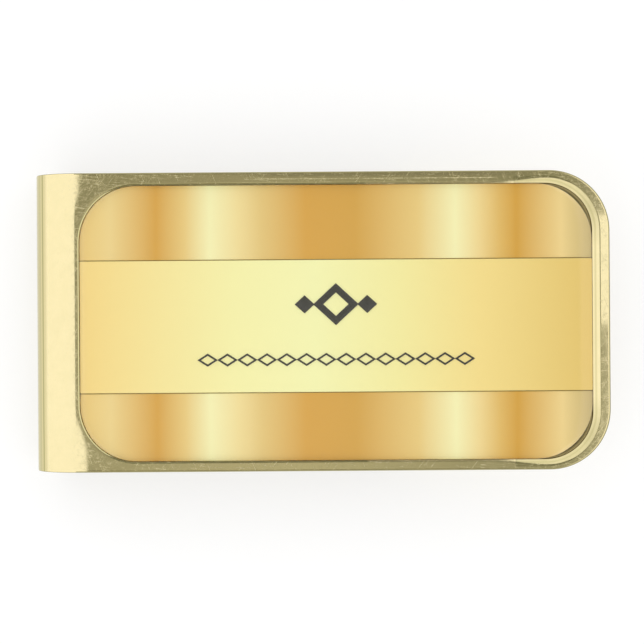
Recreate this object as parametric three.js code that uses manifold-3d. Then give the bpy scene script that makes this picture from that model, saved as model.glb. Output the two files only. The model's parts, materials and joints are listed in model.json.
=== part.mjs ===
// A folded money clip: one spring-tempered strip makes the face, the fold and the back leaf.
// The face is struck with a shallow tray that holds a gold insert plate under a clear resin lens.
// Millimetres, +Z up. The clip lies on its leaf with the face up: +X runs from the fold to the free
// end, +Y across the face, and the origin is at the middle of the footprint, on the surface it lies on.
import * as THREE from "three";
import { mergeVertices } from "three/addons/utils/BufferGeometryUtils.js";
import Module from "manifold-3d";

const wasm = await Module();
wasm.setup();

// ---- Driving dimensions ----
// The strip
const overallLength = 50.8;
const overallWidth = 26.3;
const overallHeight = 7.6; // also the outside diameter of the fold
const stripThickness = 1.1;
const edgeRounding = 0.1; // on the strip's long edges
const faceCornerRadius = 5.3; // at the face's free end
// The fold, which is the spring: the middle of its half turn is a solid of its own
const foldNodeAngle = 90; // degrees of the half turn
const openingAngle = 6; // degrees that the face lifts away from the leaf, about the fold's centre
const workingClearance = 0.1; // left between the face and the fold when the clip is fully open
const splitGap = 0.3; // between the fold and the leaf, which don't move on each other
// The leaf
const gripFromEnd = 7.0; // from the face's free end to the line where the leaf grips
const gripGap = 0.35; // the leaf's clearance under the face at that line
const rampAngle = 24; // degrees
const rampRadius = 12; // where the leaf lifts off the flat, at mid-thickness
const crestRadius = 8; // over the grip line, at mid-thickness
const flareAngle = 14; // degrees that the lead-in lip turns away from the face
const flareLength = 2.2;
const leafCornerRadius = 6.0;
const leafSideInset = 0.4; // how much narrower the leaf is than the face, on each side
// The tray in the face
const trayDepth = 0.7;
const trayFreeCornerRadius = 4.2; // at the free end, tighter than what lies in the tray
const rimAtFreeEnd = 1.5;
const rimAtBack = 1.1; // along +Y
const rimAtFront = 0.9; // along -Y
const foldLand = 0.35; // flat land between the fold and the tray
// What lies in the tray, from the bottom up
const seatClearance = 0.03; // round everything in the tray
const adhesiveThickness = 0.1;
const insertThickness = 0.2;
const insertCornerRadius = 5.0; // of the insert and the lens
const stripPlateWidth = 11.6; // the raised strip across the insert
const stripPlateOffset = -0.3; // of its centreline from the insert's, along Y
const stripPlateThickness = 0.1;
const enamelThickness = 0.05;
const lensBelowRim = 0.1;
const lensChannelClearance = 0.05;
// The black enamel ornament and the chain under it
const ornamentHeight = 3.7;
const ornamentLozengeWidth = 4.0;
const ornamentStroke = 0.6;
const sideLozengeWidth = 1.75;
const sideLozengeHeight = 1.6;
const ornamentAboveCentre = 1.9; // from the strip plate's centreline
const chainLinks = 14;
const chainLinkWidth = 1.8;
const chainLinkHeight = 1.15;
const chainStroke = 0.16;
const chainBelowCentre = 2.95;
const linkOverlap = 0.06; // where the points of two lozenges join
// How finely round stretches are cut
const foldStepAngle = 5; // degrees
const bendStepAngle = 3; // degrees
const cornerSegments = 14;
const cutterReach = 1; // how far a cutting solid runs past what it cuts

// ---- Worked-out places ----
const radians = THREE.MathUtils.degToRad;
const degrees = THREE.MathUtils.radToDeg;
const freeEnd = overallLength / 2;
const foldEnd = -overallLength / 2;
const foldRadius = overallHeight / 2;
const foldCentreX = foldEnd + foldRadius;
const midFoldRadius = foldRadius - stripThickness / 2;
const midFaceZ = overallHeight - stripThickness / 2;
const trayFloorZ = overallHeight - trayDepth;
const insertZ = trayFloorZ + adhesiveThickness;
const stripPlateZ = insertZ + insertThickness;
const enamelZ = stripPlateZ + stripPlateThickness;
const enamelTopZ = enamelZ + enamelThickness;
const lensTopZ = overallHeight - lensBelowRim;
const trayFoldCornerRadius = insertCornerRadius + seatClearance;

const tray = {
  left: foldCentreX + foldLand,
  right: freeEnd - rimAtFreeEnd,
  bottom: -overallWidth / 2 + rimAtFront,
  top: overallWidth / 2 - rimAtBack,
};
const seat = shrink(tray, seatClearance);
const seatCentre = { x: (seat.left + seat.right) / 2, y: (seat.bottom + seat.top) / 2 };
const stripPlateY = seatCentre.y + stripPlateOffset;

function shrink(box, by) {
  return { left: box.left + by, right: box.right - by, bottom: box.bottom + by, top: box.top - by };
}

// ---- Solids ----
function solidOf(geometry) {
  const bare = geometry.clone();
  bare.deleteAttribute("normal");
  bare.deleteAttribute("uv");
  const merged = mergeVertices(bare, 1e-4);
  const mesh = new wasm.Mesh({
    numProp: 3,
    vertProperties: merged.attributes.position.array,
    triVerts: new Uint32Array(merged.index.array),
  });
  return new wasm.Manifold(mesh);
}

function geometryOf(solid) {
  const mesh = solid.getMesh();
  const geometry = new THREE.BufferGeometry();
  geometry.setAttribute("position", new THREE.BufferAttribute(mesh.vertProperties, 3));
  geometry.setIndex(new THREE.BufferAttribute(mesh.triVerts, 1));
  return geometry;
}

// A rectangle in plan, with a radius for each pair of corners: those at its left and at its right.
function roundedRectangle(box, leftRadius, rightRadius) {
  const { left, right, bottom, top } = box;
  const shape = new THREE.Shape();
  shape.moveTo(left + leftRadius, bottom);
  shape.lineTo(right - rightRadius, bottom);
  if (rightRadius) shape.absarc(right - rightRadius, bottom + rightRadius, rightRadius, -Math.PI / 2, 0);
  shape.lineTo(right, top - rightRadius);
  if (rightRadius) shape.absarc(right - rightRadius, top - rightRadius, rightRadius, 0, Math.PI / 2);
  shape.lineTo(left + leftRadius, top);
  if (leftRadius) shape.absarc(left + leftRadius, top - leftRadius, leftRadius, Math.PI / 2, Math.PI);
  shape.lineTo(left, bottom + leftRadius);
  if (leftRadius) shape.absarc(left + leftRadius, bottom + leftRadius, leftRadius, Math.PI, 1.5 * Math.PI);
  return shape;
}

// A shape in plan, made into a plate between two heights.
function plate(shape, low, high) {
  const geometry = new THREE.ExtrudeGeometry(shape, {
    depth: high - low,
    bevelEnabled: false,
    curveSegments: cornerSegments,
  });
  return solidOf(geometry.translate(0, 0, low));
}

// Points along a bend of the strip at mid-thickness, from one heading to another. A heading is the
// strip's direction of travel in degrees above +X.
function bend(start, fromHeading, toHeading, radius, step) {
  const turn = Math.sign(toHeading - fromHeading);
  const centre = {
    x: start.x - turn * radius * Math.sin(radians(fromHeading)),
    z: start.z + turn * radius * Math.cos(radians(fromHeading)),
  };
  const count = Math.max(1, Math.round(Math.abs(toHeading - fromHeading) / step));
  const points = [];
  for (let i = 0; i <= count; i++) {
    const heading = fromHeading + ((toHeading - fromHeading) * i) / count;
    points.push({
      x: centre.x + turn * radius * Math.sin(radians(heading)),
      z: centre.z - turn * radius * Math.cos(radians(heading)),
      heading,
    });
  }
  return points;
}

// The strip along a line of such points, with its long edges rounded.
function ribbon(line, width) {
  const side = (share) =>
    line.map(
      (p) =>
        new THREE.Vector2(
          p.x - share * stripThickness * Math.sin(radians(p.heading)),
          p.z + share * stripThickness * Math.cos(radians(p.heading)),
        ),
    );
  const shape = new THREE.Shape([...side(-0.5), ...side(0.5).reverse()]);
  const geometry = new THREE.ExtrudeGeometry(shape, {
    depth: width - 2 * edgeRounding,
    bevelSize: edgeRounding,
    bevelOffset: -edgeRounding,
    bevelThickness: edgeRounding,
    bevelSegments: 2,
  });
  geometry.rotateX(Math.PI / 2);
  return solidOf(geometry.translate(0, width / 2 - edgeRounding, 0));
}

// ---- The strip: face, fold and leaf ----
// The strip is followed from the face's free end, towards -X, round the fold and along the leaf to its
// tip. On the fold its heading turns from 180 to 360 degrees, and the notes' side is always on its left.
const foldNodeStart = 270 - foldNodeAngle / 2;
const foldNodeStop = 270 + foldNodeAngle / 2;
const workingGapAngle = openingAngle + degrees(workingClearance / midFoldRadius);
const splitGapAngle = degrees(splitGap / midFoldRadius);

function foldArc(fromHeading, toHeading) {
  const start = {
    x: foldCentreX + midFoldRadius * Math.sin(radians(fromHeading)),
    z: foldRadius - midFoldRadius * Math.cos(radians(fromHeading)),
  };
  return bend(start, fromHeading, toHeading, midFoldRadius, foldStepAngle);
}

function facePlate() {
  const line = [{ x: freeEnd, z: midFaceZ, heading: 180 }, ...foldArc(180, foldNodeStart)];
  const outline = { left: foldEnd, right: freeEnd, bottom: -overallWidth / 2, top: overallWidth / 2 };
  const corners = plate(roundedRectangle(outline, 0, faceCornerRadius), 0, overallHeight + cutterReach);
  const pocketOutline = roundedRectangle(tray, trayFoldCornerRadius, trayFreeCornerRadius);
  const pocket = plate(pocketOutline, trayFloorZ, overallHeight + cutterReach);
  return ribbon(line, overallWidth).intersect(corners).subtract(pocket);
}

function springFold() {
  return ribbon(foldArc(foldNodeStart + workingGapAngle, foldNodeStop - splitGapAngle), overallWidth);
}

// The leaf runs flat, lifts on a ramp to its grip line under the face, and turns away at the lip.
function springLeaf() {
  const bendSine = Math.sin(radians(rampAngle));
  const bendCosine = Math.cos(radians(rampAngle));
  const flatZ = stripThickness / 2;
  const rise = midFaceZ - stripThickness - gripGap - flatZ;
  const rampLength = (rise - (rampRadius + crestRadius) * (1 - bendCosine)) / bendSine;
  const run = (rampRadius + crestRadius) * bendSine + rampLength * bendCosine;
  const liftOff = { x: freeEnd - gripFromEnd - run, z: flatZ };
  const rising = bend(liftOff, 0, rampAngle, rampRadius, bendStepAngle);
  const rampFoot = rising[rising.length - 1];
  const rampHead = {
    x: rampFoot.x + rampLength * bendCosine,
    z: rampFoot.z + rampLength * bendSine,
  };
  const crest = bend(rampHead, rampAngle, -flareAngle, crestRadius, bendStepAngle);
  const lip = crest[crest.length - 1];
  const tip = {
    x: lip.x + flareLength * Math.cos(radians(flareAngle)),
    z: lip.z - flareLength * Math.sin(radians(flareAngle)),
    heading: -flareAngle,
  };
  const width = overallWidth - 2 * leafSideInset;
  const outline = { left: foldEnd, right: tip.x, bottom: -width / 2, top: width / 2 };
  const corners = plate(roundedRectangle(outline, 0, leafCornerRadius), -cutterReach, overallHeight);
  return ribbon([...foldArc(foldNodeStop, 360), ...rising, ...crest, tip], width).intersect(corners);
}

// ---- What lies in the tray ----
const insertOutline = roundedRectangle(seat, insertCornerRadius, insertCornerRadius);

function insertAdhesive() {
  return plate(insertOutline, trayFloorZ, insertZ);
}

function insertPlate() {
  return plate(insertOutline, insertZ, stripPlateZ);
}

function stripPlateBox(clearance) {
  return {
    left: seat.left,
    right: seat.right,
    bottom: stripPlateY - stripPlateWidth / 2 - clearance,
    top: stripPlateY + stripPlateWidth / 2 + clearance,
  };
}

function centreStrip() {
  return plate(roundedRectangle(stripPlateBox(0), 0, 0), stripPlateZ, enamelZ);
}

// The lens covers the insert and has a channel underneath for the strip and its enamel.
function clearLens() {
  const channel = stripPlateBox(lensChannelClearance);
  channel.left -= seatClearance;
  channel.right += seatClearance;
  const slab = plate(insertOutline, stripPlateZ, lensTopZ);
  return slab.subtract(plate(roundedRectangle(channel, 0, 0), stripPlateZ - cutterReach, enamelTopZ));
}

// ---- The enamel ----
function lozenge(x, y, width, height) {
  const corners = [
    [x + width / 2, y],
    [x, y + height / 2],
    [x - width / 2, y],
    [x, y - height / 2],
  ];
  return corners.map(([cx, cy]) => new THREE.Vector2(cx, cy));
}

function lozengePlate(x, y, width, height) {
  return plate(new THREE.Shape(lozenge(x, y, width, height)), enamelZ, enamelTopZ);
}

// A lozenge frame whose four bars are one stroke wide.
function lozengeFrame(x, y, width, height, stroke) {
  const slant = Math.hypot(width, height);
  const shape = new THREE.Shape(lozenge(x, y, width, height));
  const innerWidth = width - (2 * stroke * slant) / height;
  const innerHeight = height - (2 * stroke * slant) / width;
  shape.holes.push(new THREE.Path(lozenge(x, y, innerWidth, innerHeight).reverse()));
  return plate(shape, enamelZ, enamelTopZ);
}

function ornament() {
  const y = stripPlateY + ornamentAboveCentre;
  const reach = (ornamentLozengeWidth + sideLozengeWidth) / 2 - linkOverlap * 2;
  return lozengeFrame(seatCentre.x, y, ornamentLozengeWidth, ornamentHeight, ornamentStroke)
    .add(lozengePlate(seatCentre.x - reach, y, sideLozengeWidth, sideLozengeHeight))
    .add(lozengePlate(seatCentre.x + reach, y, sideLozengeWidth, sideLozengeHeight));
}

function lozengeChain() {
  const y = stripPlateY - chainBelowCentre;
  const pitch = chainLinkWidth - linkOverlap;
  const firstX = seatCentre.x - (pitch * (chainLinks - 1)) / 2;
  const links = [];
  for (let i = 0; i < chainLinks; i++)
    links.push(lozengeFrame(firstX + pitch * i, y, chainLinkWidth, chainLinkHeight, chainStroke));
  return links.reduce((chain, link) => chain.add(link));
}

// ---- The assembly ----
const polishedGold = { color: 0xe6cf86, roughness: 0.12, metalness: 1.0 };
const mirrorGold = { color: 0xe0b468, roughness: 0.25, metalness: 0.8 };
const satinGold = { color: 0xf3e0a0, roughness: 0.4, metalness: 0.6 };
const blackEnamel = { color: 0x1d1c1a, roughness: 0.35, metalness: 0.0 };
const clearResin = { color: 0xffffff, roughness: 0.05, metalness: 0.0, transparent: true, opacity: 0.15 };
const paleAdhesive = { color: 0xe9e6da, roughness: 0.8, metalness: 0.0 };

const moneyClip = new THREE.Group();

function addPart(name, solid, material) {
  const mesh = new THREE.Mesh(geometryOf(solid), new THREE.MeshStandardMaterial(material));
  mesh.name = name;
  moneyClip.add(mesh);
}

addPart("face_plate", facePlate(), polishedGold);
addPart("spring_fold", springFold(), polishedGold);
addPart("spring_leaf", springLeaf(), polishedGold);
addPart("insert_adhesive", insertAdhesive(), paleAdhesive);
addPart("insert_plate", insertPlate(), mirrorGold);
addPart("centre_strip", centreStrip(), satinGold);
addPart("ornament", ornament(), blackEnamel);
addPart("lozenge_chain", lozengeChain(), blackEnamel);
addPart("clear_lens", clearLens(), clearResin);

export default moneyClip;
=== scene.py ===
# A folded money clip in gold plate, with a banded gold insert, a pale strip and black enamel under resin.
import bisect
import json
import math

import bmesh
import bpy
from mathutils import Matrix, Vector


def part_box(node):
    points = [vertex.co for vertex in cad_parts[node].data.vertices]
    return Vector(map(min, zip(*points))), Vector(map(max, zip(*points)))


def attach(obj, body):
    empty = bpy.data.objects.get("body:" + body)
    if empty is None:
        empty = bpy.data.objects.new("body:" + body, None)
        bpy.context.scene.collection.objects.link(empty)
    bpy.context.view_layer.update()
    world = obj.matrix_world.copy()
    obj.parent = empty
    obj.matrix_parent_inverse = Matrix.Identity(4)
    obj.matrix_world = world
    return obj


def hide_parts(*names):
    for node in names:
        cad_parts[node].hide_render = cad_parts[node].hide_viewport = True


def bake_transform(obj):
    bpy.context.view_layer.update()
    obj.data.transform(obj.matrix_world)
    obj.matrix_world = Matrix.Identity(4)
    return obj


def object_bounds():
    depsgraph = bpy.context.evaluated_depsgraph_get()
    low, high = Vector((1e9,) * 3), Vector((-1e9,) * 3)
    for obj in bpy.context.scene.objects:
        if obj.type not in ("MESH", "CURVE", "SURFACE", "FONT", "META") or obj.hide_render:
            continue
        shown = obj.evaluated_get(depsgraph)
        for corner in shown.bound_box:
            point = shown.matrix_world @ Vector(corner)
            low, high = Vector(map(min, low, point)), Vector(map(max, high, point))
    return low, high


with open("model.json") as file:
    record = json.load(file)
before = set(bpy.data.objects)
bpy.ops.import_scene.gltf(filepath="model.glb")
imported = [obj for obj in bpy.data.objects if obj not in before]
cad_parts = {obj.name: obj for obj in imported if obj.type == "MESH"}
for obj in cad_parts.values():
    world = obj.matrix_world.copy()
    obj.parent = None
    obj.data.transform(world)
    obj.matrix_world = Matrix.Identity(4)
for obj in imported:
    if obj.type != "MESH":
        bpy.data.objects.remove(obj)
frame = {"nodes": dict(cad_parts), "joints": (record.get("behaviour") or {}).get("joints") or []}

cad_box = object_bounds()
MM = 0.001

# ---- Places that the frame gives ----
HALF_WIDTH = cad_box[1].y
FREE_END = cad_box[1].x
FACE_TOP = cad_box[1].z
FOLD = Vector(frame["joints"][0]["pos_m"])
SEAT_LOW, SEAT_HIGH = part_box("insert_plate")
STRIP_LOW, STRIP_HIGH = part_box("centre_strip")
LENS_LOW, LENS_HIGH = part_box("clear_lens")
ORNAMENT_LOW, ORNAMENT_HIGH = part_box("ornament")
CHAIN_LOW, CHAIN_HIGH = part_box("lozenge_chain")
TRAY_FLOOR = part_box("insert_adhesive")[0].z
LEAF_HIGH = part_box("spring_leaf")[1]

# ---- Sizes of the strip ----
THICKNESS = 1.1 * MM
EDGE_ROUNDING = 0.1 * MM
FACE_CORNER = 5.3 * MM
LEAF_CORNER = 6.0 * MM
LEAF_HALF_WIDTH = HALF_WIDTH - 0.4 * MM
SEAM = FOLD.x + 3 * MM  # on the leaf's flat, where its second mesh begins
RAMP_ANGLE = 24
RAMP_RADIUS = 12 * MM
CREST_RADIUS = 8 * MM
FLARE_ANGLE = 14
GRIP_FROM_END = 7 * MM
GRIP_GAP = 0.35 * MM

# ---- Sizes of the tray and of what lies in it ----
SEAT_CLEARANCE = 0.03 * MM
INSERT_CORNER = 5.0 * MM
TRAY_FREE_CORNER = 4.2 * MM
TRAY_FLOOR_ROUNDING = 0.08 * MM
WELL_DEPTH = 0.28 * MM  # below this, the tray's wall and floor are painted dark as shade
LIP_NARROW = 0.11 * MM
LIP_WIDE = 0.6 * MM
LIP_WIDENS = (14 * MM, FREE_END - 3 * MM)  # from and to, along X
LIP_SLOPE_NARROW = 0.28  # depth of the lip for each unit of its width
LIP_SLOPE_WIDE = 0.45
LIP_ROUNDNESS = 1.12  # 1 is a flat bevel
CHANNEL_CLEARANCE = 0.05 * MM  # between the lens and the strip
LENS_SHOULDER = 0.05 * MM
CROWN_RISE = 0.02 * MM
CROWN_REACH = 2.4 * MM
HAIR = 0.004 * MM  # the least space between two faces that lie on each other

# ---- How the strip departs from its true form ----
# Where the bend begins early at the strip's two sides: (which side, how early, from and to across the strip)
EARLY_BENDS = ((-1, 1.2 * MM, 6.8 * MM, 11.5 * MM), (1, 0.65 * MM, 8.8 * MM, 12 * MM))
EARLY_DEPTH = 55.6  # per metre: how deep an early bend is, for the square of how early
EARLY_REACH = 2.17  # how far an early bend takes to sink, for how early it is
EARLY_RECOVERS = (1.66 * MM, 5.9 * MM)  # from and to, round the bend past the fold line
END_SLOPE = 0.02  # the rim's outward lean over half of the free end
END_LEANS_FROM = 24.2 * MM  # along X
BACK_DROP = 0.018 * MM  # at the edge of the rim along the back


# ---- Camera ----
def place_camera():
    distance = 175 * MM
    field = 56.54 * MM  # width of the picture at the height of the face
    lens = bpy.data.cameras.new("camera")
    lens.sensor_width = 36
    lens.lens = lens.sensor_width * distance / field
    lens.clip_start = 0.01
    lens.clip_end = 10
    camera = bpy.data.objects.new("camera", lens)
    bpy.context.scene.collection.objects.link(camera)
    camera.location = (0.09 * MM, -0.06 * MM, FACE_TOP + distance)
    camera.rotation_euler = (0, 0, math.radians(-0.4))
    bpy.context.scene.camera = camera


place_camera()


# ---- Mesh work ----
class Skin:
    """Points and faces of one piece, joined row to row."""

    def __init__(self):
        self.points = []
        self.faces = []

    def row(self, points):
        first = len(self.points)
        self.points += [tuple(p) for p in points]
        return list(range(first, len(self.points)))

    def join(self, a, b, closed=True, leave_out=()):
        for i in range(len(a) if closed else len(a) - 1):
            if i not in leave_out:
                j = (i + 1) % len(a)
                self.faces.append((a[i], a[j], b[j], b[i]))

    def cap(self, row):
        self.faces.append(tuple(row))

    def piece(self, name, sharp=40):
        mesh = bpy.data.meshes.new(name)
        mesh.from_pydata(self.points, [], self.faces)
        shape = bmesh.new()
        shape.from_mesh(mesh)
        bmesh.ops.remove_doubles(shape, verts=shape.verts, dist=0.0004 * MM)
        bmesh.ops.dissolve_degenerate(shape, edges=shape.edges, dist=0.0004 * MM)
        bmesh.ops.recalc_face_normals(shape, faces=shape.faces)
        shape.to_mesh(mesh)
        shape.free()
        mesh.shade_smooth()
        mesh.set_sharp_from_angle(angle=math.radians(sharp))
        made = bpy.data.objects.new(name, mesh)
        bpy.context.scene.collection.objects.link(made)
        return made


def smoothstep(value, low, high):
    share = min(max((value - low) / (high - low), 0), 1)
    return share * share * (3 - 2 * share)


def between(a, b, steps):
    """Steps from a up to but not including b."""
    return [a + (b - a) * i / steps for i in range(steps)]


LONG_STEPS = 60  # along a long side of an outline
SHORT_STEPS = 28
CORNER_STEPS = 24


def rounded_outline(low, high, fold_radius, free_radius):
    """Anticlockwise from the lower long side: each point with its way out. Radii at the -X and +X corners."""
    outline = []

    def side(start, end, steps, out):
        for share in between(0, 1, steps):
            outline.append((Vector(start).lerp(Vector(end), share), Vector(out)))

    def corner(x, y, radius, degrees):
        for angle in between(math.radians(degrees), math.radians(degrees + 90), CORNER_STEPS):
            out = Vector((math.cos(angle), math.sin(angle)))
            outline.append((Vector((x, y)) + out * radius, out))

    a, b = fold_radius, free_radius
    side((low.x + a, low.y), (high.x - b, low.y), LONG_STEPS, (0, -1))
    corner(high.x - b, low.y + b, b, -90)
    side((high.x, low.y + b), (high.x, high.y - b), SHORT_STEPS, (1, 0))
    corner(high.x - b, high.y - b, b, 0)
    side((high.x - b, high.y), (low.x + a, high.y), LONG_STEPS, (0, 1))
    corner(low.x + a, high.y - a, a, 90)
    side((low.x, high.y - a), (low.x, low.y + a), SHORT_STEPS, (-1, 0))
    corner(low.x + a, low.y + a, a, 180)
    return outline


def at_height(outline, z, out=0.0):
    return [(p + way * out).to_3d() + Vector((0, 0, z)) for p, way in outline]


ROUND_STEPS = 5


def rounding(radius, steps=ROUND_STEPS):
    """(how far out, how far down) round a quarter turn, from flat on top to upright."""
    turns = [math.pi / 2 * i / steps for i in range(steps + 1)]
    return [(radius * math.sin(a), radius * (1 - math.cos(a))) for a in turns]


BORDER = (0.03 * MM, 0.3 * MM)  # flat rings inside a rounded edge keep the broad face's shading flat


def plate(name, outline, low, high, radius, crown=(), border=BORDER):
    """A plate with rounded edges. crown gives rings inside its top edge, as (how far in, how far up)."""
    skin = Skin()
    rings = [at_height(outline, low, -radius - inward) for inward in reversed(border)]
    for out, down in rounding(radius):
        rings.append(at_height(outline, low + down, out - radius))
    for out, down in reversed(rounding(radius)):
        rings.append(at_height(outline, high - down, out - radius))
    for inward, up in crown:
        rings.append(at_height(outline, high + up, -radius - inward))
    last_in, last_up = crown[-1] if crown else (0, 0)
    for inward in border:
        rings.append(at_height(outline, high + last_up, -radius - last_in - inward))
    rows = [skin.row(ring) for ring in rings]
    for a, b in zip(rows, rows[1:]):
        skin.join(a, b)
    skin.cap(rows[0])
    skin.cap(rows[-1])
    return skin.piece(name)


# ---- The strip: face, rim and tray ----
def land_outline(tray):
    """The face's outline less its edge rounding, point for point with the tray's.

    The points of its -X side have no way out, because the fold goes on from there.
    """
    top = HALF_WIDTH - EDGE_ROUNDING
    right = FREE_END - EDGE_ROUNDING
    radius = FACE_CORNER - EDGE_ROUNDING
    corner_x = right - radius
    corner_y = top - radius
    half = CORNER_STEPS // 2
    up, right_way, down, none = Vector((0, 1)), Vector((1, 0)), Vector((0, -1)), Vector((0, 0))
    tray_end = 2 * (LONG_STEPS + CORNER_STEPS) + SHORT_STEPS  # the first point of the tray's -X, +Y corner
    tray_left = tray[tray_end][0].x
    fold_y = tray[tray_end + CORNER_STEPS][0].y
    low_fold_y = tray[-CORNER_STEPS][0].y
    outline = []

    def side(start, end, steps, out, first_out=None):
        for i, share in enumerate(between(0, 1, steps)):
            way = first_out if first_out and i == 0 else out
            place = [a + (b - a) * share for a, b in zip(start, end)]
            outline.append((Vector(place), way))

    def corner(y, first_angle):
        for angle in between(first_angle, first_angle + math.pi / 2, CORNER_STEPS):
            out = Vector((math.cos(angle), math.sin(angle)))
            outline.append((Vector((corner_x, y)) + out * radius, out))

    side((tray_left, -top), (corner_x, -top), LONG_STEPS, down)
    corner(-corner_y, -math.pi / 2)
    side((right, -corner_y), (right, corner_y), SHORT_STEPS, right_way)
    corner(corner_y, 0)
    side((corner_x, top), (tray_left, top), LONG_STEPS, up)
    side((tray_left, top), (FOLD.x, top), half, up)
    fold_side = len(outline)
    side((FOLD.x, top), (FOLD.x, fold_y), half, none, first_out=up)
    side((FOLD.x, fold_y), (FOLD.x, low_fold_y), SHORT_STEPS, none)
    side((FOLD.x, low_fold_y), (FOLD.x, -top), half, none)
    fold_side_end = len(outline)
    side((FOLD.x, -top), (tray_left, -top), half, down)
    return outline, fold_side, fold_side_end


def lip_width(x):
    return LIP_NARROW + (LIP_WIDE - LIP_NARROW) * smoothstep(x, *LIP_WIDENS)


LIP_STEPS = 8
LAND_STEPS = 8
FOLD_STEPS = 72


def early_bend(y):
    return max(how_early * smoothstep(side * y, start, end) for side, how_early, start, end in EARLY_BENDS)


def bend_drop(past_fold_line, y):
    """How far the surface has sunk where the bend begins early. past_fold_line is measured round the bend."""
    early = early_bend(y)
    if early <= 0:
        return 0
    sunk = smoothstep(past_fold_line + early, 0, EARLY_REACH * early)
    return EARLY_DEPTH * early**2 * sunk * (1 - smoothstep(past_fold_line, *EARLY_RECOVERS))


def rim_drop(x, y):
    """The rim leans outwards a little: on one half of the free end, and along the middle of the back."""
    half = smoothstep(y, -0.4 * MM, 0.3 * MM) - smoothstep(y, 8.4 * MM, 9.6 * MM)
    free_end = END_SLOPE * max(x - END_LEANS_FROM, 0) * half
    along = smoothstep(x, -12 * MM, -2 * MM) - smoothstep(x, 14 * MM, 21 * MM)
    return free_end + BACK_DROP * smoothstep(y, 12.6 * MM, HALF_WIDTH) * along


def settled(p):
    drop = bend_drop(FOLD.x - p.x, p.y) + rim_drop(p.x, p.y)
    return (p.x, p.y, p.z - drop)


def face_part(skin):
    """The face with its rim and tray, open where the fold joins it. Returns the section left open."""
    clearance = Vector((SEAT_CLEARANCE, SEAT_CLEARANCE, 0))
    corners = (INSERT_CORNER + SEAT_CLEARANCE, TRAY_FREE_CORNER)
    tray = rounded_outline(SEAT_LOW - clearance, SEAT_HIGH + clearance, *corners)
    land, first, last = land_outline(tray)
    cut = range(first, last)

    # The tray, from its floor up the wall and over the lip
    rings = [at_height(tray, TRAY_FLOOR, -TRAY_FLOOR_ROUNDING - inward) for inward in reversed(BORDER)]
    for out, up in rounding(TRAY_FLOOR_ROUNDING):
        rings.append(at_height(tray, TRAY_FLOOR + up, out - TRAY_FLOOR_ROUNDING))
    lip = []
    for share in between(0, 1, LIP_STEPS):
        ring = []
        for p, way in tray:
            width = lip_width(p.x)
            widened = smoothstep(width, LIP_NARROW, LIP_WIDE)
            slope = LIP_SLOPE_NARROW + (LIP_SLOPE_WIDE - LIP_SLOPE_NARROW) * widened
            depth = slope * width * (1 - share) ** LIP_ROUNDNESS
            ring.append((p + way * width * share).to_3d() + Vector((0, 0, FACE_TOP - depth)))
        lip.append(ring)
    lip_edge = [(p + way * lip_width(p.x)).to_3d() + Vector((0, 0, FACE_TOP)) for p, way in tray]
    rings += lip + [lip_edge]
    land_edge = at_height(land, FACE_TOP)
    for share in between(0, 1, LAND_STEPS)[1:]:
        rings.append([a.lerp(b, share) for a, b in zip(lip_edge, land_edge)])
    rows = [skin.row([settled(p) for p in ring]) for ring in rings]
    for a, b in zip(rows, rows[1:]):
        skin.join(a, b)
    skin.cap(rows[0])

    # The outer edge, down to the underside
    edge = [at_height(land, FACE_TOP - down, out) for out, down in rounding(EDGE_ROUNDING)]
    underside = FACE_TOP - THICKNESS
    edge += [at_height(land, underside + up, out) for out, up in reversed(rounding(EDGE_ROUNDING))]
    edge_rows = [skin.row([settled(p) for p in ring]) for ring in edge]
    skin.join(rows[-1], edge_rows[0])
    for a, b in zip(edge_rows, edge_rows[1:]):
        skin.join(a, b, leave_out=cut)
    under_rows = [skin.row([settled(p) for p in at_height(land, underside, -inward)]) for inward in BORDER]
    for a, b in zip([edge_rows[-1]] + under_rows, under_rows):
        skin.join(a, b)
    skin.cap(under_rows[-1])

    top_run = edge[0][first : last + 1]
    under_run = edge[-1][first : last + 1]
    far_edge = [ring[last] for ring in edge[1:-1]]
    near_edge = [ring[first] for ring in reversed(edge[1:-1])]
    return top_run + far_edge + under_run[::-1] + near_edge


def fold_part(skin, section):
    """The half turn and the leaf's first stretch, swept from the section and closed at the seam."""

    def placed(angle, along):
        narrowing = smoothstep(angle, math.pi * 0.6, math.pi) * (1 - LEAF_HALF_WIDTH / HALF_WIDTH)
        points = []
        for p in section:
            radius = p.z - FOLD.z - bend_drop(angle * FOLD.z, p.y)
            x = FOLD.x - radius * math.sin(angle) + along
            z = FOLD.z + radius * math.cos(angle)
            points.append((x, p.y * (1 - narrowing), z))
        return points

    stations = [(math.pi * i / FOLD_STEPS, 0) for i in range(FOLD_STEPS + 1)]
    stations += [(math.pi, along) for along in (1 * MM, 2 * MM, SEAM - FOLD.x)]
    rows = [skin.row(placed(*station)) for station in stations]
    for a, b in zip(rows, rows[1:]):
        skin.join(a, b)
    skin.cap(rows[-1])


def make_face_and_fold():
    skin = Skin()
    fold_part(skin, face_part(skin))
    return skin.piece("gold_face_and_fold")


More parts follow.
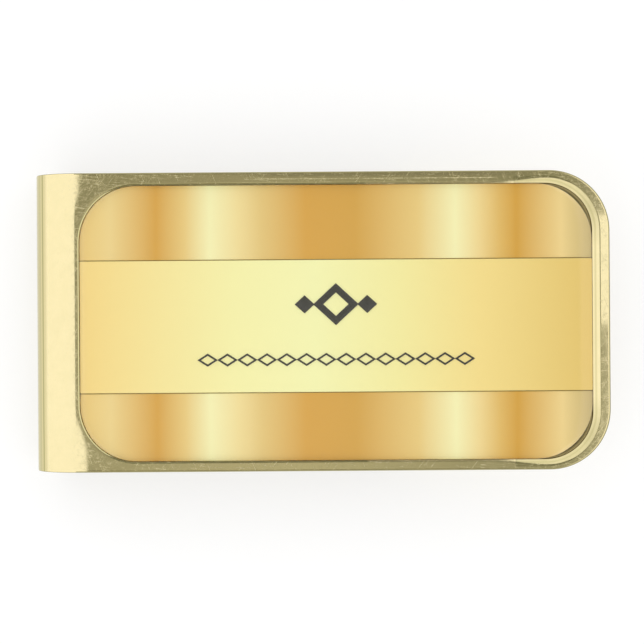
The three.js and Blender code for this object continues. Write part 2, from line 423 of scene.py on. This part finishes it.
# ---- The strip: leaf ----
def leaf_path():
    """The leaf at mid-thickness from the seam to its tip: (x, z, heading) at fine steps."""
    ramp = math.radians(RAMP_ANGLE)
    flare = math.radians(FLARE_ANGLE)
    flat_z = THICKNESS / 2
    rise = FACE_TOP - THICKNESS - GRIP_GAP - THICKNESS / 2 - flat_z
    bends = RAMP_RADIUS + CREST_RADIUS
    straight = (rise - bends * (1 - math.cos(ramp))) / math.sin(ramp)
    run = bends * math.sin(ramp) + straight * math.cos(ramp)
    lift_x = FREE_END - GRIP_FROM_END - run
    path = [(x, flat_z, 0) for x in between(SEAM, lift_x, 24)]
    for angle in between(0, ramp, 24):
        x = lift_x + RAMP_RADIUS * math.sin(angle)
        path.append((x, flat_z + RAMP_RADIUS * (1 - math.cos(angle)), angle))
    foot_x = lift_x + RAMP_RADIUS * math.sin(ramp)
    foot_z = flat_z + RAMP_RADIUS * (1 - math.cos(ramp))
    for along in between(0, straight, 16):
        path.append((foot_x + along * math.cos(ramp), foot_z + along * math.sin(ramp), ramp))
    top_x = FREE_END - GRIP_FROM_END
    top_z = flat_z + rise
    for angle in between(ramp, -flare, 40):
        x = top_x - CREST_RADIUS * math.sin(angle)
        path.append((x, top_z - CREST_RADIUS * (1 - math.cos(angle)), angle))
    lip_x = top_x + CREST_RADIUS * math.sin(flare)
    lip_z = top_z - CREST_RADIUS * (1 - math.cos(flare))
    length = (LEAF_HIGH.x - lip_x) / math.cos(flare)
    for along in between(0, length, 16) + [length]:
        path.append((lip_x + along * math.cos(flare), lip_z - along * math.sin(flare), -flare))
    return path


def along_path(path):
    """How far along the path each of its points is."""
    far = [0]
    for a, b in zip(path, path[1:]):
        far.append(far[-1] + math.hypot(b[0] - a[0], b[1] - a[1]))
    return far


def make_leaf():
    path = leaf_path()
    far = along_path(path)
    length = far[-1]
    corner_start = length - LEAF_CORNER
    flat_half = LEAF_HALF_WIDTH - LEAF_CORNER
    columns = 36

    def on_strip(s, y, inner):
        """s along the leaf, y across it, inner is how far from its outside."""
        s = min(max(s, 0), length)
        i = min(bisect.bisect_right(far, s) - 1, len(far) - 2)
        share = (s - far[i]) / (far[i + 1] - far[i])
        x, z, heading = [a + (b - a) * share for a, b in zip(path[i], path[i + 1])]
        off = inner - THICKNESS / 2
        return (x - off * math.sin(heading), y, z + off * math.cos(heading))

    # (how far in from the outline, how far from the outside), from the outside face round to the inside face
    r = EDGE_ROUNDING
    profile = [(r - out, down) for out, down in rounding(r)]
    profile += [(r - out, THICKNESS - down) for out, down in reversed(rounding(r))]

    def section(place_of):
        """The leaf cut across. place_of gives (s, half the width) at some distance in from the outline."""
        s, half = place_of(r)
        outside = [(s, -half + 2 * half * k / columns, 0) for k in range(columns + 1)]
        inside = [(s, y, THICKNESS) for _, y, _ in reversed(outside)]
        far_edge = [(*place_of(inward), inner) for inward, inner in profile[1:-1]]
        near_edge = [(s, -half, inner) for s, half, inner in reversed(far_edge)]
        return outside + far_edge + inside + near_edge

    def straight(s):
        return section(lambda inward: (s, LEAF_HALF_WIDTH - inward))

    def corner(angle):
        def place_of(inward):
            radius = LEAF_CORNER - inward
            return corner_start + radius * math.sin(angle), flat_half + radius * math.cos(angle)

        return section(place_of)

    skin = Skin()
    rows = [straight(s) for s in far if s < corner_start] + [straight(corner_start)]
    rows += [corner(math.pi / 2 * k / CORNER_STEPS) for k in range(1, CORNER_STEPS + 1)]
    placed = [skin.row([on_strip(*p) for p in row]) for row in rows]
    for a, b in zip(placed, placed[1:]):
        skin.join(a, b)
    skin.cap(placed[0])

    # The tip between its corners
    ys = [-flat_half + 2 * flat_half * k / columns for k in range(columns + 1)]
    tip = []
    for inward, inner in profile:
        tip.append(skin.row([on_strip(length - inward, y, inner) for y in ys]))
    for a, b in zip(tip, tip[1:]):
        skin.join(a, b, closed=False)
    return skin.piece("gold_leaf")


# ---- What lies in the tray ----
def make_insert():
    outline = rounded_outline(SEAT_LOW, SEAT_HIGH, INSERT_CORNER, INSERT_CORNER)
    return plate("banded_insert", outline, SEAT_LOW.z + HAIR, SEAT_HIGH.z - HAIR, 0.03 * MM)


def make_strip():
    outline = rounded_outline(STRIP_LOW, STRIP_HIGH, 0.08 * MM, 0.08 * MM)
    return plate("pale_strip", outline, STRIP_LOW.z, STRIP_HIGH.z - HAIR, 0.02 * MM, border=(0.02 * MM,))


def make_lens():
    outline = rounded_outline(LENS_LOW, LENS_HIGH, INSERT_CORNER, INSERT_CORNER)
    shares = between(0, 1, 8)[1:] + [1]
    crown = [(CROWN_REACH * share, CROWN_RISE * (1 - (1 - share) ** 2)) for share in shares]
    lens = plate("resin_lens", outline, LENS_LOW.z + HAIR, LENS_HIGH.z, LENS_SHOULDER, crown)
    room = Vector((1 * MM, CHANNEL_CLEARANCE, 0))  # the channel runs out past both ends of the lens
    room_above = ORNAMENT_HIGH.z + 0.01 * MM
    channel_outline = rounded_outline(STRIP_LOW - room, STRIP_HIGH + room, 0.02 * MM, 0.02 * MM)
    channel = plate("channel", channel_outline, SEAT_LOW.z, room_above, 0.005 * MM, border=(0.002 * MM,))
    cut = lens.modifiers.new("channel", "BOOLEAN")
    cut.operation = "DIFFERENCE"
    cut.solver = "EXACT"
    cut.object = channel
    bpy.context.view_layer.update()
    shaped = bpy.data.meshes.new_from_object(lens.evaluated_get(bpy.context.evaluated_depsgraph_get()))
    lens.modifiers.clear()
    lens.data = shaped
    shaped.shade_smooth()
    shaped.set_sharp_from_angle(angle=math.radians(35))
    bpy.data.objects.remove(channel)
    return lens


# ---- The black enamel ----
POINT_EASE = 0.035 * MM  # how far from a lozenge's point its rounding begins


def lozenge(x, y, half_width, half_height):
    return [Vector((x + half_width, y)), Vector((x, y + half_height)), Vector((x - half_width, y)),
            Vector((x, y - half_height))]


def rounded_lozenge(x, y, half_width, half_height, radius, steps=4):
    """A lozenge whose points are eased by short arcs."""
    corners = lozenge(x, y, half_width, half_height)
    outline = []
    for i, corner in enumerate(corners):
        before = (corners[i - 1] - corner).normalized()
        after = (corners[(i + 1) % 4] - corner).normalized()
        for k in range(steps + 1):
            share = k / steps
            start = corner + before * radius
            end = corner + after * radius
            outline.append(start.lerp(corner, share).lerp(corner.lerp(end, share), share))
    return outline


def enamel_lozenge(skin, x, y, half_width, half_height, stroke, low, high):
    """A raised lozenge of enamel: a frame one stroke wide, or solid where there is no stroke."""
    slant = math.hypot(half_width, half_height)

    def ring(inset, z):
        """The outline moved inwards by inset, at a height."""
        width = half_width - inset * slant / half_height
        height = half_height - inset * slant / half_width
        return [p.to_3d() + Vector((0, 0, z)) for p in rounded_lozenge(x, y, width, height, POINT_EASE)]

    levels = [(0, low), (0, high - 0.02 * MM), (0.008 * MM, high - 0.006 * MM), (0.02 * MM, high)]
    rings = [ring(inset, z) for inset, z in levels]
    if stroke:
        rings += [ring(stroke - inset, z) for inset, z in reversed(levels)]
    rows = [skin.row(ring) for ring in rings]
    for a, b in zip(rows, rows[1:]):
        skin.join(a, b)
    if stroke:
        skin.join(rows[-1], rows[0])
    else:
        skin.cap(rows[0])
        skin.cap(rows[-1])


LINKS = 14
LINK_STROKE = 0.16 * MM
ORNAMENT_STROKE = 0.6 * MM
LOZENGE_WIDTH = 4.0 * MM
SIDE_WIDTH = 1.75 * MM
SIDE_HEIGHT = 1.6 * MM


def make_ornament():
    low, high = ORNAMENT_LOW, ORNAMENT_HIGH
    middle = (low + high) / 2
    skin = Skin()
    half_height = (high.y - low.y) / 2
    enamel_lozenge(skin, middle.x, middle.y, LOZENGE_WIDTH / 2, half_height, ORNAMENT_STROKE, low.z, high.z)
    for side_x in (low.x + SIDE_WIDTH / 2, high.x - SIDE_WIDTH / 2):
        enamel_lozenge(skin, side_x, middle.y, SIDE_WIDTH / 2, SIDE_HEIGHT / 2, 0, low.z, high.z)
    return skin.piece("enamel_ornament")


def make_chain():
    low, high = CHAIN_LOW, CHAIN_HIGH
    half_height = (high.y - low.y) / 2
    overlap = 0.06 * MM
    half_width = ((high.x - low.x) + overlap * (LINKS - 1)) / LINKS / 2
    skin = Skin()
    for i in range(LINKS):
        x = low.x + half_width + i * (2 * half_width - overlap)
        y = (low.y + high.y) / 2
        enamel_lozenge(skin, x, y, half_width, half_height, LINK_STROKE, low.z, high.z)
    return skin.piece("enamel_chain")


# ---- Finishes ----
class Value:
    """A number or colour that varies over a surface. Arithmetic on it adds Math nodes."""

    def __init__(self, finish, socket):
        self.finish = finish
        self.socket = socket

    def math(self, operation, *inputs):
        return self.finish.node("ShaderNodeMath", {"operation": operation}, dict(enumerate(inputs)))

    def __add__(self, other):
        return self.math("ADD", self, other)

    def __sub__(self, other):
        return self.math("SUBTRACT", self, other)

    def __mul__(self, other):
        return self.math("MULTIPLY", self, other)

    def __truediv__(self, other):
        return self.math("DIVIDE", self, other)

    def __pow__(self, other):
        return self.math("POWER", self, other)

    def __rsub__(self, other):
        return self.math("SUBTRACT", other, self)

    def __abs__(self):
        return self.math("ABSOLUTE", self)

    def __gt__(self, other):
        return self.math("GREATER_THAN", self, other)

    def __lt__(self, other):
        return self.math("LESS_THAN", self, other)

    __radd__ = __add__
    __rmul__ = __mul__

    def above(self, least):
        return self.math("MAXIMUM", self, least)

    def clamped(self):
        made = self.math("ADD", self, 0)
        made.socket.node.use_clamp = True
        return made


class Nodes:
    """A node tree under construction."""

    def __init__(self, owner):
        owner.use_nodes = True
        self.tree = owner.node_tree
        self.tree.nodes.clear()

    def node(self, kind, settings=None, inputs=None, output=0):
        made = self.tree.nodes.new(kind)
        for key, value in (settings or {}).items():
            if key == "stops":
                self.set_stops(made.color_ramp, value)
            else:
                setattr(made, key, value)
        for key, value in (inputs or {}).items():
            if isinstance(value, Value):
                self.tree.links.new(value.socket, made.inputs[key])
            else:
                made.inputs[key].default_value = value
        return None if output is None else Value(self, made.outputs[output])

    def set_stops(self, ramp, stops):
        while len(ramp.elements) > 1:
            ramp.elements.remove(ramp.elements[0])
        for i, (position, colour) in enumerate(stops):
            stop = ramp.elements[0] if i == 0 else ramp.elements.new(position)
            stop.position = position
            stop.color = (*colour, 1)

    def split(self, vector):
        return [self.node("ShaderNodeSeparateXYZ", inputs={0: vector}, output=i) for i in range(3)]

    def stretched(self, where, x, y, z):
        """Where, with each axis multiplied: a pattern on it is drawn out along the small ones."""
        settings = {"operation": "MULTIPLY"}
        return self.node("ShaderNodeVectorMath", settings, {0: where, 1: (x, y, z)})

    def noise(self, where, per_metre, detail=3, roughness=0.5):
        inputs = {"Vector": where, "Scale": per_metre, "Detail": detail, "Roughness": roughness}
        return self.node("ShaderNodeTexNoise", inputs=inputs)

    def finish_with(self, kind, shader):
        """Ends the tree: the shader goes to the surface socket of an output node."""
        self.node(kind, inputs={"Surface": shader}, output=None)

    def mixed(self, factor, a, b):
        settings = {"data_type": "RGBA"}
        return self.node("ShaderNodeMix", settings, {0: factor, 6: a, 7: b}, output=2)


class Finish(Nodes):
    """A material under construction."""

    def __init__(self, name):
        self.material = bpy.data.materials.new(name)
        super().__init__(self.material)

    def place(self):
        """A point on the piece, in metres."""
        return self.node("ShaderNodeTexCoord", output="Object")

    def place_at_rest(self):
        """The same for a piece that bends: where the point is while the clip is at rest."""
        return self.node("ShaderNodeAttribute", {"attribute_name": AT_REST}, output="Vector")

    def bump(self, height, strength, distance):
        inputs = {"Height": height, "Strength": strength, "Distance": distance}
        return self.node("ShaderNodeBump", inputs=inputs)

    def shade(self, **sockets):
        named = {key.replace("_", " "): value for key, value in sockets.items()}
        shader = self.node("ShaderNodeBsdfPrincipled", inputs=named)
        self.finish_with("ShaderNodeOutputMaterial", shader)
        return self.material


AT_REST = "place_at_rest"


def remember_rest(piece):
    """Stores each point's place on the mesh itself, so that the finish stays put when the piece bends."""
    stored = piece.data.attributes.new(AT_REST, "FLOAT_VECTOR", "POINT")
    for vertex, kept in zip(piece.data.vertices, stored.data):
        kept.vector = vertex.co


def linear(red, green, blue):
    """A colour given as it looks on screen, 0 to 255."""
    parts = [c / 255 for c in (red, green, blue)]
    return tuple(c / 12.92 if c <= 0.04045 else ((c + 0.055) / 1.055) ** 2.4 for c in parts)


def solid(colour):
    return (*colour, 1)


PAINTED_BEND_LINE = FOLD.x - 3.0 * MM  # a dark line painted as shade into the fold's reflection
WELL_MARGIN = 0.16 * MM
UPPER = FACE_TOP - THICKNESS - 0.05 * MM  # above this is the face, below it the leaf
BACK_LINE = 12.53 * MM  # a long fine scratch in the rim at the back
BACK_LINE_ENDS = (-6 * MM, 15.5 * MM)
FREE_LIP_FROM = 17 * MM  # the wide lip's painted shade begins here, along X
LIP_SHADE_LINE = 0.24 * MM  # a darker line painted in the lip's reflection, this far from the tray's wall
EDGE_SHADE_WIDTH = 0.11 * MM  # how far in from the outline the edge's painted shade goes

GOLD_BRIGHT = (0.94, 0.815, 0.48)
GOLD_WARM = (0.92, 0.79, 0.455)
GOLD_SMUDGED = (0.84, 0.735, 0.41)
# painted shade on the outside of the bend, and a painted dark line beside it
GOLD_BEND_PAINTED_SHADE = (0.56, 0.50, 0.235)
GOLD_PAINTED_DARK_LINE = (0.42, 0.38, 0.155)
# painted shade in the tray's well: deep down, and close to its wall
GOLD_WELL_PAINTED_SHADE = (0.10, 0.078, 0.03)
GOLD_WALL_PAINTED_SHADE = (0.60, 0.50, 0.25)
# painted shade in the lip's reflection: a line along it, and its corners
GOLD_LIP_PAINTED_LINE = (0.70, 0.61, 0.32)
GOLD_LIP_CORNER_PAINTED_SHADE = (0.40, 0.36, 0.165)
GOLD_NARROW_LIP = (0.60, 0.54, 0.28)
# painted shade along the strip's edges
GOLD_EDGE_PAINTED_SHADE = (0.34, 0.305, 0.14)


def within(value, low, high):
    return (value > low) * (value < high)


def peak(value, middle, reach):
    """1 at the middle, falling evenly to 0 at its reach on both sides."""
    return (1 - abs(value - middle) / reach).clamped()


def beyond(x, y, end, half_width, corner):
    """How far outside an outline that has one rounded end towards +X. Right only near the outline."""
    out_x = (x - (end - corner)).above(0)
    out_y = (abs(y) - (half_width - corner)).above(0)
    return (out_x**2 + out_y**2) ** 0.5 - corner


def scratches_in(finish, where, turn, fine, share):
    """Fine straight scratches that all run one way. Noise within share of 1 shows as a scratch."""
    settings = {"rotation_type": "Z_AXIS"}
    turned = finish.node("ShaderNodeVectorRotate", settings, {0: where, "Angle": turn})
    streaks = finish.noise(finish.stretched(turned, fine / 45, fine, fine), 1, detail=1)
    return ((streaks - (1 - share)) * 12).clamped()


def painted_bend_shade(finish, base, x, z):
    """Painted shade: the outside of the bend is darkened, with a painted dark line beside it."""
    # painted shade: the outside of the bend is darkened
    painted_shade_outside = ((PAINTED_BEND_LINE + 0.05 * MM - x) / (0.3 * MM)).clamped()
    base = finish.mixed(painted_shade_outside, base, solid(GOLD_BEND_PAINTED_SHADE))
    # painted shade: a dark line beside it
    painted_dark_line = peak(x, PAINTED_BEND_LINE, 0.13 * MM) + 0.45 * peak(x, PAINTED_BEND_LINE + 0.2 * MM, 0.25 * MM)
    return finish.mixed(painted_dark_line.clamped() * (z > FOLD.z), base, solid(GOLD_PAINTED_DARK_LINE))


def where_well_is_shaded(x, y, z):
    """The tray's floor and lower wall, painted dark as shade and made rougher."""
    in_tray = within(x, SEAT_LOW.x - WELL_MARGIN, SEAT_HIGH.x + WELL_MARGIN)
    in_tray = in_tray * within(y, SEAT_LOW.y - WELL_MARGIN, SEAT_HIGH.y + WELL_MARGIN)
    return in_tray * within(z, FACE_TOP - THICKNESS + 0.05 * MM, FACE_TOP - WELL_DEPTH)


def lip_painted_shade(finish, base, smudge, x, tray_y, z, from_tray, tray_half):
    """Painted shade in the lip's reflection: a darker line along the wide lip, and darker corners. The narrow
    lip at the fold end is darker too.
    """
    above_leaf = z > UPPER
    wide = (x > FREE_LIP_FROM) * above_leaf
    # painted shade: a darker line along the wide lip
    base = finish.mixed(peak(from_tray, LIP_SHADE_LINE, 0.14 * MM) * wide, base, solid(GOLD_LIP_PAINTED_LINE))
    # painted shade: the wide lip darker round its corners
    corner_painted_shade = ((abs(tray_y) - 6.5 * MM) / (3.5 * MM)).clamped() * wide
    corner_painted_shade = corner_painted_shade * within(from_tray, -0.02 * MM, LIP_WIDE + 0.02 * MM)
    base = finish.mixed(corner_painted_shade * (0.35 + 0.3 * smudge), base, solid(GOLD_LIP_CORNER_PAINTED_SHADE))
    fold_corner = INSERT_CORNER + SEAT_CLEARANCE
    from_fold_end = beyond(0 - x, tray_y, SEAT_CLEARANCE - SEAT_LOW.x, tray_half, fold_corner)
    narrow = within(from_fold_end, -0.02 * MM, LIP_NARROW + 0.02 * MM) * (x < 4 * MM) * above_leaf
    return finish.mixed(narrow, base, solid(GOLD_NARROW_LIP))


def edge_painted_shade(finish, x, y, z):
    """Where the strip's edges are painted darker as shade and made rougher."""
    past_fold = x > FOLD.x
    face_edge = (beyond(x, y, FREE_END, HALF_WIDTH, FACE_CORNER) > -EDGE_SHADE_WIDTH) * (z > UPPER)
    leaf_edge = (beyond(x, y, LEAF_HIGH.x, LEAF_HALF_WIDTH, LEAF_CORNER) > -EDGE_SHADE_WIDTH) * (z < UPPER)
    facing_y = finish.split(finish.node("ShaderNodeNewGeometry", output=1))[1]
    fold_edge = (abs(facing_y) > 0.5) * (1 - past_fold)
    return ((face_edge + leaf_edge) * past_fold + fold_edge).clamped()


def gold_plate():
    finish = Finish("polished gold plate")
    where = finish.place_at_rest()
    x, y, z = finish.split(where)
    tone = finish.noise(where, 180, detail=2)
    smudge = finish.noise(where, 900, detail=5, roughness=0.62)
    mottle = ((finish.noise(where, 3200, detail=5, roughness=0.7) - 0.5) * 6).clamped()
    scratches = scratches_in(finish, where, 0.1, 24000, 0.36)
    scratches = scratches + scratches_in(finish, where, 1.2, 20000, 0.34)
    scratches = (scratches + scratches_in(finish, where, -0.9, 17000, 0.33)).clamped()
    base = finish.mixed(tone, solid(GOLD_BRIGHT), solid(GOLD_WARM))
    base = finish.mixed(smudge, base, solid(GOLD_SMUDGED))
    base = painted_bend_shade(finish, base, x, z)

    painted_well_shade = where_well_is_shaded(x, y, z)
    tray_y = y - (SEAT_LOW.y + SEAT_HIGH.y) / 2
    tray_half = (SEAT_HIGH.y - SEAT_LOW.y) / 2 + SEAT_CLEARANCE
    from_tray = beyond(x, tray_y, SEAT_HIGH.x + SEAT_CLEARANCE, tray_half, TRAY_FREE_CORNER)
    # painted shade in the well: darkest away from the wall, lighter close to it
    near_wall = ((from_tray + 0.3 * MM) / (0.3 * MM)).clamped()
    well_shade_colour = finish.mixed(near_wall, solid(GOLD_WELL_PAINTED_SHADE), solid(GOLD_WALL_PAINTED_SHADE))
    base = finish.mixed(painted_well_shade, base, well_shade_colour)
    base = lip_painted_shade(finish, base, smudge, x, tray_y, z, from_tray, tray_half)

    # painted shade: the strip's edges are darkened
    edge = edge_painted_shade(finish, x, y, z)
    base = finish.mixed(edge, base, solid(GOLD_EDGE_PAINTED_SHADE))
    line = (abs(y - BACK_LINE) < 0.035 * MM) * within(x, *BACK_LINE_ENDS) * (z > FOLD.z)
    roughness = 0.05 + 0.04 * smudge + 0.12 * mottle + 0.2 * scratches
    roughness = roughness + 0.3 * (painted_well_shade + edge) + 0.35 * line * smudge
    normal = finish.bump(smudge, 0.12, 0.01 * MM)
    return finish.shade(Base_Color=base, Metallic=1.0, Roughness=roughness, Normal=normal)


# Tones of the insert from the fold to the free end: (share of its length, colour as it looks)
AMBER = (217, 169, 89)
SAND = (233, 205, 136)
PALE = (246, 241, 187)
INSERT_TONES = [
    (0.00, (238, 207, 135)),
    (0.06, (238, 214, 150)),
    (0.15, AMBER),
    (0.205, SAND),
    (0.255, PALE),
    (0.31, (241, 222, 160)),
    (0.355, (229, 201, 134)),
    (0.44, AMBER),
    (0.54, (214, 169, 90)),
    (0.66, SAND),
    (0.735, PALE),
    (0.78, (240, 217, 153)),
    (0.82, (225, 188, 112)),
    (0.853, (214, 166, 82)),
    (0.94, (238, 213, 149)),
    (1.00, (198, 178, 125)),
]
STRIP_TONES = [
    (0.00, (246, 218, 144)),
    (0.30, (246, 241, 177)),
    (0.46, (245, 244, 184)),
    (0.62, (244, 236, 168)),
    (0.78, (244, 222, 148)),
    (1.00, (228, 198, 119)),
]


LIGHT_ON_IT = 0.91  # how brightly the room lights the print
VEIL = 0.055  # of gloss over the print
DARKEST = 0.004
PRINT_METALLIC = 0.04
STRIP_SHADOW_WIDTH = 0.09 * MM  # a shadow of the strip, painted on the insert beside it


def print_tone(tone):
    return tuple(max(c - VEIL, DARKEST) / LIGHT_ON_IT for c in linear(*tone))


def printed_gold(name, tones, roughness_low):
    """Satin gold whose tone changes along X, under clear resin. Returns what a finish is made of."""
    finish = Finish(name)
    where = finish.place()
    x = finish.split(where)[0]
    share = (x - SEAT_LOW.x) / (SEAT_HIGH.x - SEAT_LOW.x)
    waver = finish.noise(finish.stretched(where, 260, 60, 60), 1, detail=2)
    stops = [(at, print_tone(tone)) for at, tone in tones]
    tone = finish.node("ShaderNodeValToRGB", {"stops": stops}, {0: share + 0.006 * (waver - 0.5)})
    grain = finish.noise(finish.stretched(where, 4000, 60000, 60000), 1, detail=3)
    darker = finish.node("ShaderNodeVectorMath", {"operation": "SCALE"}, {0: tone, "Scale": 0.97})
    base = finish.mixed(grain, tone, darker)
    return finish, base, grain, roughness_low + 0.15 * grain


def insert_gold():
    finish, base, grain, roughness = printed_gold("banded satin gold", INSERT_TONES, 0.34)
    y = finish.split(finish.place())[1]
    middle = (STRIP_LOW.y + STRIP_HIGH.y) / 2
    half = (STRIP_HIGH.y - STRIP_LOW.y) / 2
    # painted shadow: a dark line on the insert beside the raised strip
    line = (abs(y - middle) - half) < STRIP_SHADOW_WIDTH
    base = finish.mixed(line, base, solid((0.25, 0.17, 0.015)))
    normal = finish.bump(grain, 0.08, 0.004 * MM)
    return finish.shade(Base_Color=base, Metallic=PRINT_METALLIC, Roughness=roughness, Normal=normal)


def strip_gold():
    finish, base, grain, roughness = printed_gold("pale satin gold", STRIP_TONES, 0.32)
    normal = finish.bump(grain, 0.06, 0.004 * MM)
    return finish.shade(Base_Color=base, Metallic=PRINT_METALLIC, Roughness=roughness, Normal=normal)


def black_enamel():
    finish = Finish("black enamel")
    where = finish.place()
    speckle = finish.noise(where, 9000, detail=3)
    base = finish.mixed(speckle, solid((0.016, 0.015, 0.013)), solid((0.026, 0.024, 0.02)))
    normal = finish.bump(speckle, 0.1, 0.004 * MM)
    return finish.shade(Base_Color=base, Roughness=0.22 + 0.16 * speckle, Normal=normal)


def clear_resin():
    finish = Finish("clear resin")
    where = finish.place()
    ripple = finish.noise(where, 160, detail=2)
    wipe = finish.noise(finish.stretched(where, 900, 260, 260), 1, detail=3)
    normal = finish.bump(ripple, 0.12, 0.01 * MM)
    return finish.shade(Base_Color=solid((1.0, 0.99, 0.95)), Metallic=1.0, Roughness=0.02 + 0.03 * wipe,
                        Alpha=0.045, Normal=normal)


def adhesive_film():
    finish = Finish("pale adhesive")
    where = finish.place()
    fibre = finish.noise(where, 5000, detail=4)
    base = finish.mixed(fibre, solid((0.72, 0.70, 0.60)), solid((0.60, 0.57, 0.46)))
    normal = finish.bump(fibre, 0.3, 0.01 * MM)
    return finish.shade(Base_Color=base, Roughness=0.6 + 0.2 * fibre, Normal=normal)


# ---- Putting it together ----
def finished(piece, material, slot, *nodes):
    piece.data.materials.clear()
    piece.data.materials.append(material)
    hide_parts(*nodes)


GOLD = gold_plate()
face_and_fold = make_face_and_fold()
remember_rest(face_and_fold)
finished(face_and_fold, GOLD, "gold_plate", "face_plate", "spring_fold")
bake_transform(face_and_fold)

leaf = make_leaf()
remember_rest(leaf)
finished(leaf, GOLD, "gold_plate", "spring_leaf")
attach(leaf, "leaf")

insert = make_insert()
finished(insert, insert_gold(), "insert_gold", "insert_plate")
strip = make_strip()
finished(strip, strip_gold(), "strip_gold", "centre_strip")
ENAMEL = black_enamel()
ornament = make_ornament()
finished(ornament, ENAMEL, "enamel", "ornament")
chain = make_chain()
finished(chain, ENAMEL, "enamel", "lozenge_chain")
lens = make_lens()
finished(lens, clear_resin(), "lens_resin", "clear_lens")
for piece in (insert, strip, ornament, chain, lens):
    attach(piece, "face")

adhesive = frame["nodes"]["insert_adhesive"]
adhesive.data.materials.clear()
adhesive.data.materials.append(adhesive_film())


# ---- Studio ----
def lay_floor():
    """A white table, lit a little from below."""
    skin = Skin()
    reach = 1.5
    skin.cap(skin.row([(-reach, -reach, 0), (reach, -reach, 0), (reach, reach, 0), (-reach, reach, 0)]))
    floor = skin.piece("floor")
    finish = Finish("white table")
    white = solid((1, 1, 1))
    material = finish.shade(Base_Color=solid((0.4, 0.4, 0.4)), Roughness=0.8, Emission_Color=white,
                            Emission_Strength=0.6)
    floor.data.materials.append(material)


GAP = (-math.sin(math.radians(8.5)), math.sin(math.radians(8.6)))  # between the two lights, along X
OVERHEAD_FAR = ((0.255, 0.26, 0.20), (0.345, 0.34, 0.275))  # in the gap towards +Y: its sides and its middle
OVERHEAD_NEAR = ((0.32, 0.325, 0.26), (0.53, 0.52, 0.43))  # the same towards -Y
DEEP_IN_GAP = (0.24, 0.24, 0.2)
SCREEN = (0.25, 0.25, 0.24)  # a dim screen low at the right
LIGHT = (1.11, 1.11, 1.11)
LIGHT_FULLER = (1.26, 1.26, 1.26)


def light_room():
    """Two broad soft lights to the left and right, with an unlit gap overhead between them."""
    world = bpy.data.worlds.new("two soft lights")
    bpy.context.scene.world = world
    room = Nodes(world)
    x, y, z = room.split(room.node("ShaderNodeTexCoord", output="Generated"))
    sharpness = 250
    gap = ((x - GAP[0]) * sharpness).clamped() * ((GAP[1] - x) * sharpness).clamped()
    gap = gap * ((z - 0.78) * 8).clamped()
    deep = ((abs(y) - 0.1) * 14).clamped()
    screen = ((x - 0.78) * 8).clamped() * ((z - 0.15) * 8).clamped()
    fuller = (((abs(y) - 0.3) * 4).clamped() + ((x - 0.22) * 5).clamped()).clamped()
    middle = (1 - abs(x + 0.02) * 8).clamped()
    nearer = (0.5 - y * 7).clamped()
    darker = room.mixed(middle, solid(OVERHEAD_FAR[0]), solid(OVERHEAD_FAR[1]))
    lighter = room.mixed(middle, solid(OVERHEAD_NEAR[0]), solid(OVERHEAD_NEAR[1]))
    overhead = room.mixed(nearer, darker, lighter)
    sides = room.mixed(fuller, solid(LIGHT), solid(LIGHT_FULLER))
    light = room.mixed(gap, sides, overhead)
    light = room.mixed(gap * deep, light, solid(DEEP_IN_GAP))
    light = room.mixed(screen * 0.75, light, solid(SCREEN))
    background = room.node("ShaderNodeBackground", inputs={0: light})
    room.finish_with("ShaderNodeOutputWorld", background)


lay_floor()
light_room()
bpy.context.scene.view_settings.view_transform = "Standard"
